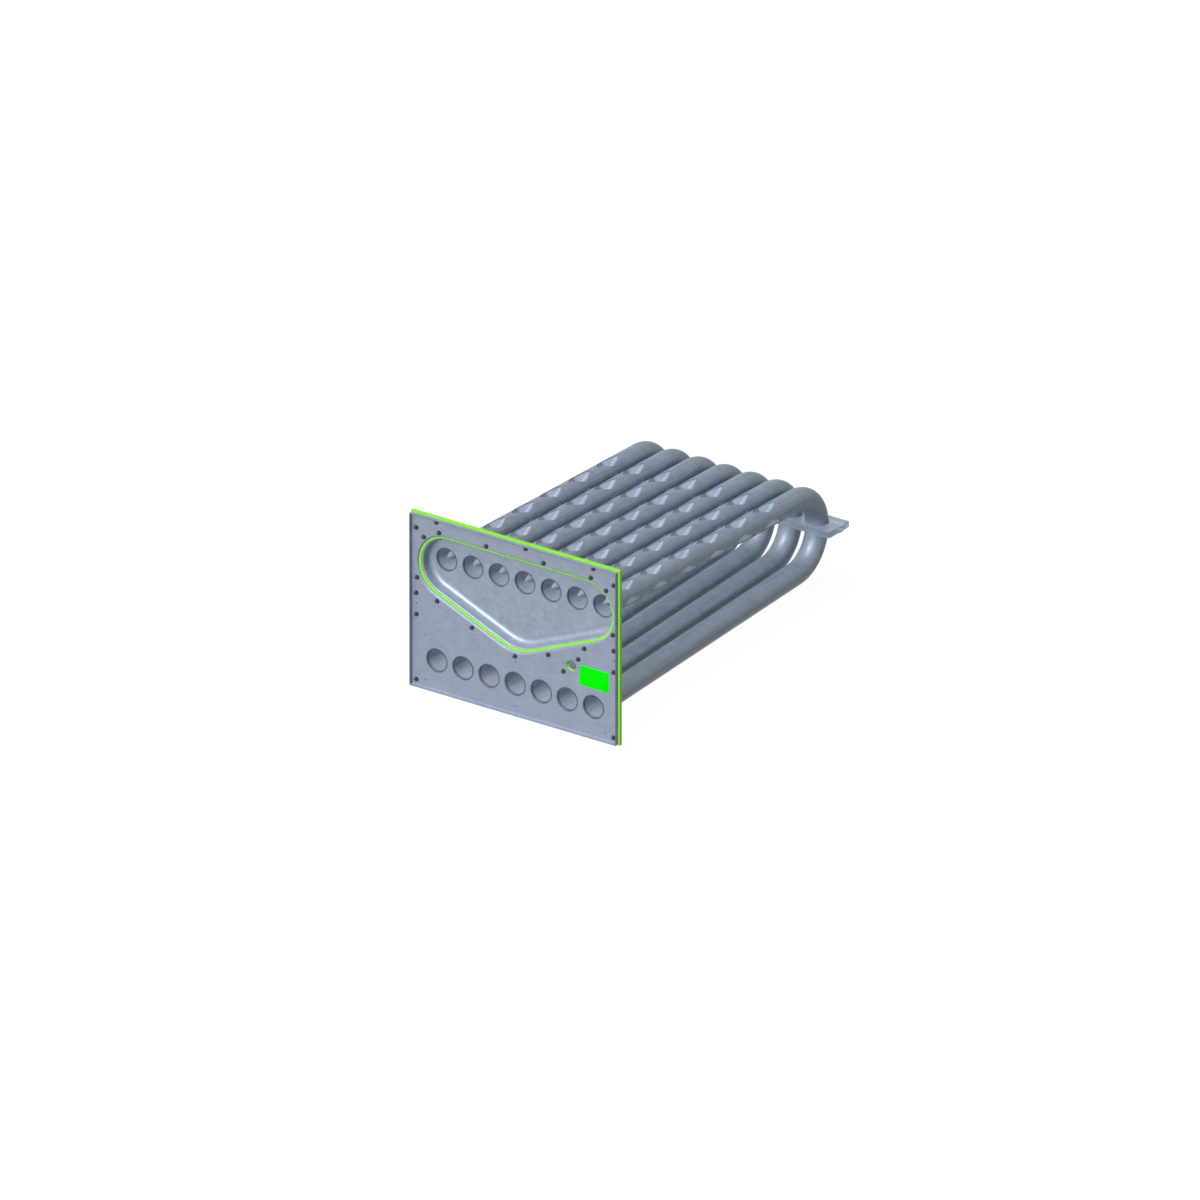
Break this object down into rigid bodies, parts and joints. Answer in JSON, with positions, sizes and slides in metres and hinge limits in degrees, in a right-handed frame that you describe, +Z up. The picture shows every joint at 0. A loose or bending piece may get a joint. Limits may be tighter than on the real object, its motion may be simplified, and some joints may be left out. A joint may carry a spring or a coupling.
{
  "type": "furnace heat exchanger",
  "caption": "Tubular furnace heat exchanger: folded tubes with crimped upper passes join a flanged vest panel, a drawn V-shaped collector pan and a rear bracket.",
  "frame": {"origin": "below the middle of the whole part, on the level of its lowest edge, the bottom edge of the vest gasket", "axes": "+Y along the tubes from the vest panel to the bends, +Z up across the two passes, +X to the right seen from the panel's front"},
  "size_m": [0.5588, 0.91, 0.4223],
  "materials": {
    "panel_steel": "aluminised sheet steel, folded",
    "pan_steel": "aluminised sheet steel, deep drawn",
    "tube_steel": "aluminised steel tube, bent and crimped",
    "bracket_steel": "aluminised sheet steel, folded",
    "screw_zinc": "zinc-plated steel",
    "gasket_sheet": "die-cut soft gasket sheet",
    "label_face": "blank printed label stock"
  },
  "bodies": {
    "root": {"vest_panel": "panel_steel", "vest_gasket": "gasket_sheet", "collector_pan": "pan_steel", "rear_bracket": "bracket_steel", "label_plate": "label_face", "screws_sides": "screw_zinc", "screws_top": "screw_zinc", "screws_collector": "screw_zinc", "screws_port": "screw_zinc", "heat_tube_1": "tube_steel", "heat_tube_2": "tube_steel", "heat_tube_3": "tube_steel", "heat_tube_4": "tube_steel", "heat_tube_5": "tube_steel", "heat_tube_6": "tube_steel", "heat_tube_7": "tube_steel"}
  },
  "joints": []
}
